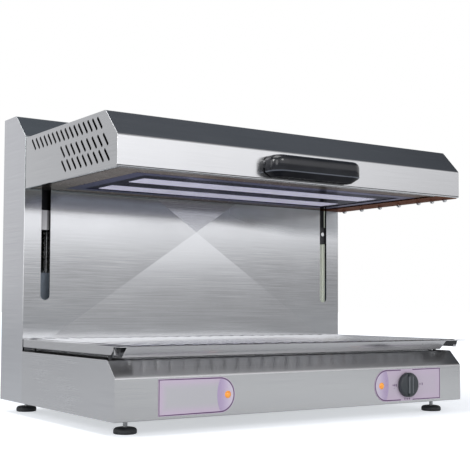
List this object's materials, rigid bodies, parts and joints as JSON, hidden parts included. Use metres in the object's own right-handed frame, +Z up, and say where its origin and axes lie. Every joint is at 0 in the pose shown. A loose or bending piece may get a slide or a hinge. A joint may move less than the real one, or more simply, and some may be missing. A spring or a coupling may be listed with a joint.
{
  "type": "cheese melter",
  "caption": "Salamander grill with a height-adjustable heated head on a rear column, counterweights, cooking grid, drip tray, regulator knob and levelling feet.",
  "frame": {"origin": "on the table, under the middle of the whole machine's box", "axes": "+X to the user's right across the machine, +Y from the front with the knob and handle to the rear column, +Z up; origin at the centre of the feet's plane"},
  "size_m": [0.8, 0.558, 0.593],
  "materials": {
    "brushed_sheet": "satin",
    "plain_sheet": "satin",
    "grid_steel": "polished",
    "heat_tinted_sheet": "polished",
    "bright_steel": "polished",
    "dark_steel": "satin",
    "weight_paint": "satin",
    "pulley_iron": "satin",
    "bush_bronze": "satin",
    "label_foil": "satin",
    "amber_lens": "gloss",
    "black_moulding": "satin",
    "knob_moulding": "satin",
    "handle_gloss": "gloss",
    "foot_rubber": "matte",
    "strip_ceramic": "satin",
    "terminal_ceramic": "matte",
    "insulation_felt": "matte"
  },
  "bodies": {
    "frame": {"base_shell": "brushed_sheet", "base_plate": "plain_sheet", "column_shell": "brushed_sheet", "rear_panel": "plain_sheet", "rear_screws": "bright_steel", "left_label": "label_foil", "right_label": "label_foil", "left_lamp": "amber_lens", "right_lamp": "amber_lens", "heat_regulator": "black_moulding", "mains_terminals": "terminal_ceramic", "cable_gland": "black_moulding", "foot_nuts": "bright_steel", "locating_posts": "black_moulding", "guide_rods": "bright_steel", "weight_rods": "bright_steel", "supply_leads": "bright_steel", "top_brackets": "dark_steel", "bottom_brackets": "dark_steel", "shaft_bearings": "bush_bronze", "idler_pins": "bright_steel", "lift_cables": "bright_steel"},
    "head": {"head_shell": "brushed_sheet", "head_rear_panel": "plain_sheet", "head_underframe": "heat_tinted_sheet", "reflector": "heat_tinted_sheet", "window_trim": "bright_steel", "front_strip": "strip_ceramic", "rear_strip": "strip_ceramic", "strip_holders": "terminal_ceramic", "insulation": "insulation_felt", "element_terminals": "terminal_ceramic", "terminal_cover": "heat_tinted_sheet", "cover_nuts": "bright_steel", "handle_bow": "handle_gloss", "handle_plate": "handle_gloss", "handle_screws": "bright_steel", "left_arm": "dark_steel", "right_arm": "dark_steel", "left_carriage": "dark_steel", "right_carriage": "dark_steel", "carriage_bushes": "bush_bronze", "carriage_bolts": "bright_steel", "cable_clamps": "bright_steel"},
    "left_weight": {"left_counterweight": "weight_paint"},
    "right_weight": {"right_counterweight": "weight_paint"},
    "sync_shaft": {"sync_shaft": "bright_steel", "left_pulley": "pulley_iron", "right_pulley": "pulley_iron"},
    "left_idler_wheel": {"left_idler": "pulley_iron"},
    "right_idler_wheel": {"right_idler": "pulley_iron"},
    "regulator_knob": {"regulator_shaft": "bright_steel", "knob": "knob_moulding"},
    "tray": {"drip_tray": "brushed_sheet"},
    "grid": {"cooking_grid": "grid_steel", "grid_pads": "black_moulding"},
    "foot_front_left": {"front_left_foot": "foot_rubber"},
    "foot_front_right": {"front_right_foot": "foot_rubber"},
    "foot_rear_left": {"rear_left_foot": "foot_rubber"},
    "foot_rear_right": {"rear_right_foot": "foot_rubber"}
  },
  "joints": [
    {"name": "head_lift", "type": "slide", "parent": "frame", "child": "head", "axis": [0, 0, 1], "range_m": [-0.215, 0]},
    {"name": "left_weight_lift", "type": "slide", "parent": "frame", "child": "left_weight", "axis": [0, 0, 1], "range_m": [0, 0.215]},
    {"name": "right_weight_lift", "type": "slide", "parent": "frame", "child": "right_weight", "axis": [0, 0, 1], "range_m": [0, 0.215]},
    {"name": "sync_shaft_turn", "type": "hinge", "parent": "frame", "child": "sync_shaft", "pos_m": [0, 0.201, 0.543], "axis": [1, 0, 0], "range_deg": [0, 493]},
    {"name": "left_idler_turn", "type": "hinge", "parent": "frame", "child": "left_idler_wheel", "pos_m": [-0.297, 0.201, 0.0665], "axis": [1, 0, 0], "range_deg": [0, 493]},
    {"name": "right_idler_turn", "type": "hinge", "parent": "frame", "child": "right_idler_wheel", "pos_m": [0.297, 0.201, 0.0665], "axis": [1, 0, 0], "range_deg": [0, 493]},
    {"name": "regulator_turn", "type": "hinge", "parent": "frame", "child": "regulator_knob", "pos_m": [0.247, -0.24, 0.0615], "axis": [0, 1, 0], "range_deg": [0, 270]},
    {"name": "grid_lift", "type": "slide", "parent": "frame", "child": "grid", "axis": [0, 0, 1], "range_m": [0, 0.06]},
    {"name": "drip_tray_lift", "type": "slide", "parent": "frame", "child": "tray", "axis": [0, 0, 1], "range_m": [0, 0.018]},
    {"name": "front_left_foot_turn", "type": "hinge", "parent": "frame", "child": "foot_front_left", "pos_m": [-0.354, -0.19, 0.01], "axis": [0, 0, 1], "continuous": true},
    {"name": "front_right_foot_turn", "type": "hinge", "parent": "frame", "child": "foot_front_right", "pos_m": [0.365, -0.19, 0.01], "axis": [0, 0, 1], "continuous": true},
    {"name": "rear_left_foot_turn", "type": "hinge", "parent": "frame", "child": "foot_rear_left", "pos_m": [-0.354, 0.232, 0.01], "axis": [0, 0, 1], "continuous": true},
    {"name": "rear_right_foot_turn", "type": "hinge", "parent": "frame", "child": "foot_rear_right", "pos_m": [0.365, 0.232, 0.01], "axis": [0, 0, 1], "continuous": true}
  ],
  "couplings": [
    {"joint": "left_weight_lift", "follows": "head_lift", "ratio": -1},
    {"joint": "right_weight_lift", "follows": "head_lift", "ratio": -1},
    {"joint": "sync_shaft_turn", "follows": "head_lift", "rad_per_m": -40},
    {"joint": "left_idler_turn", "follows": "head_lift", "rad_per_m": -40},
    {"joint": "right_idler_turn", "follows": "head_lift", "rad_per_m": -40}
  ]
}
